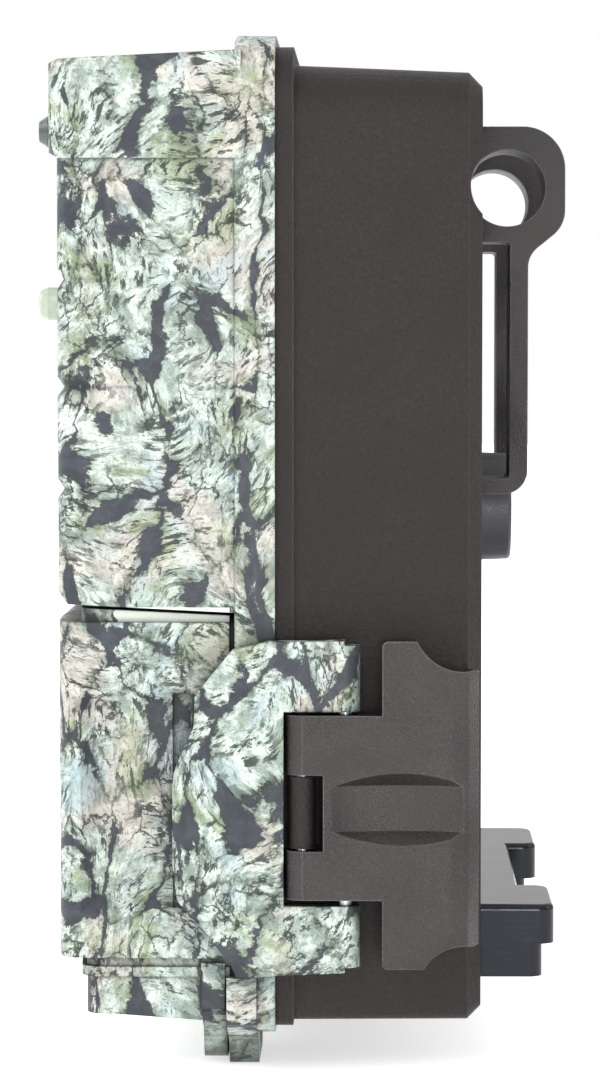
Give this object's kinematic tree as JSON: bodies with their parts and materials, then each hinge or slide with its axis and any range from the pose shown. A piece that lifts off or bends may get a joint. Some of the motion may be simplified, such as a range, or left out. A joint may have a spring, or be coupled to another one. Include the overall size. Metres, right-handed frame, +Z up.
{
  "type": "trail camera",
  "caption": "Outdoor trail camera with bark camouflage front, hinged lower door, side draw latch, strap brackets and trunk foot.",
  "frame": {"origin": "mouth of the tripod socket in the bottom face, on the middle plane", "axes": "+Z up, -Y the way the lens looks, +X the latch side"},
  "size_m": [0.1058, 0.078, 0.1461],
  "materials": {
    "camo_plastic": "printed bark camouflage, satin",
    "brown_plastic": "fine pebble texture",
    "gloss_brown": "gloss",
    "dark_collar": "satin",
    "black_plastic": "satin",
    "key_plastic": "satin",
    "seal_rubber": "matte",
    "smoked_window": "polished smoked acrylic",
    "indicator_glass": "polished translucent",
    "clear_glass": "polished",
    "emitter": "polished resin",
    "sensor_film": "satin translucent",
    "board": "solder mask",
    "chips": "satin",
    "cable": "satin",
    "steel": "satin",
    "brass": "machined",
    "cell_wrap": "gloss wrap"
  },
  "bodies": {
    "camera_body": {"front_housing": "camo_plastic", "rear_case": "brown_plastic", "strap_bracket_left": "brown_plastic", "strap_bracket_right": "brown_plastic", "trunk_foot": "gloss_brown", "socket_collar": "dark_collar", "control_panel": "black_plastic", "lens_bezel": "black_plastic", "lens_barrel": "black_plastic", "camera_module": "black_plastic", "dc_jack": "black_plastic", "housing_gasket": "seal_rubber", "port_cover_anchor": "seal_rubber", "led_window": "smoked_window", "light_sensor_dome": "smoked_window", "indicator_lens": "indicator_glass", "lens_cover": "clear_glass", "lcd_glass": "clear_glass", "ir_leds": "emitter", "pir_lens": "sensor_film", "led_board": "board", "pir_board": "board", "main_board": "board", "keypad_board": "board", "board_components": "chips", "microphone": "chips", "lcd_module": "chips", "ribbon_cable": "cable", "housing_screws": "steel", "bracket_screws": "steel", "foot_screws": "steel", "hinge_pins": "steel", "latch_pin": "steel", "pir_sensor": "steel", "sd_socket": "steel", "usb_port": "steel", "rear_socket": "brass", "bottom_socket": "brass"},
    "door": {"door_shell": "camo_plastic", "door_liner": "black_plastic", "door_gasket": "seal_rubber"},
    "lever": {"latch_lever": "brown_plastic", "link_pin": "steel"},
    "hook": {"hook_plate": "camo_plastic"},
    "port_flap": {"port_cover": "seal_rubber"},
    "switch_knob": {"power_switch": "black_plastic"},
    "card": {"sd_card": "chips"},
    "battery_pack": {"battery_tray": "black_plastic", "battery_cells": "cell_wrap", "battery_springs": "steel", "battery_contacts": "steel"},
    "key_ok_cap": {"key_ok": "key_plastic"},
    "key_up_cap": {"key_up": "key_plastic"},
    "key_down_cap": {"key_down": "key_plastic"},
    "key_left_cap": {"key_left": "key_plastic"},
    "key_right_cap": {"key_right": "key_plastic"}
  },
  "joints": [
    {"name": "door_hinge", "type": "hinge", "parent": "camera_body", "child": "door", "pos_m": [-0.0502, -0.022, 0.029], "axis": [0, 0, -1], "range_deg": [0, 110]},
    {"name": "latch_lever_pivot", "type": "hinge", "parent": "camera_body", "child": "lever", "pos_m": [0.0509, -0.0121, 0.0296], "axis": [0, 0, -1], "range_deg": [0, 100]},
    {"name": "hook_plate_pivot", "type": "hinge", "parent": "lever", "child": "hook", "pos_m": [0.0502, -0.0062, 0.0296], "axis": [0, 0, 1], "range_deg": [0, 121]},
    {"name": "port_flap_hinge", "type": "hinge", "parent": "camera_body", "child": "port_flap", "pos_m": [0.028, 0.0031, -0.0004], "axis": [1, 0, 0], "range_deg": [0, 100]},
    {"name": "switch_slide", "type": "slide", "parent": "camera_body", "child": "switch_knob", "axis": [1, 0, 0], "range_m": [0, 0.006]},
    {"name": "card_slide", "type": "slide", "parent": "camera_body", "child": "card", "axis": [0, -1, 0], "range_m": [0, 0.017]},
    {"name": "battery_slide", "type": "slide", "parent": "camera_body", "child": "battery_pack", "axis": [0, -1, 0], "range_m": [0, 0.0195]},
    {"name": "key_ok_press", "type": "slide", "parent": "camera_body", "child": "key_ok_cap", "axis": [0, 1, 0], "range_m": [0, 0.0006], "stiffness_N_per_m": 800},
    {"name": "key_up_press", "type": "slide", "parent": "camera_body", "child": "key_up_cap", "axis": [0, 1, 0], "range_m": [0, 0.0006], "stiffness_N_per_m": 800},
    {"name": "key_down_press", "type": "slide", "parent": "camera_body", "child": "key_down_cap", "axis": [0, 1, 0], "range_m": [0, 0.0006], "stiffness_N_per_m": 800},
    {"name": "key_left_press", "type": "slide", "parent": "camera_body", "child": "key_left_cap", "axis": [0, 1, 0], "range_m": [0, 0.0006], "stiffness_N_per_m": 800},
    {"name": "key_right_press", "type": "slide", "parent": "camera_body", "child": "key_right_cap", "axis": [0, 1, 0], "range_m": [0, 0.0006], "stiffness_N_per_m": 800}
  ],
  "couplings": [
    {"joint": "hook_plate_pivot", "follows": "latch_lever_pivot", "ratio": 1.2}
  ]
}
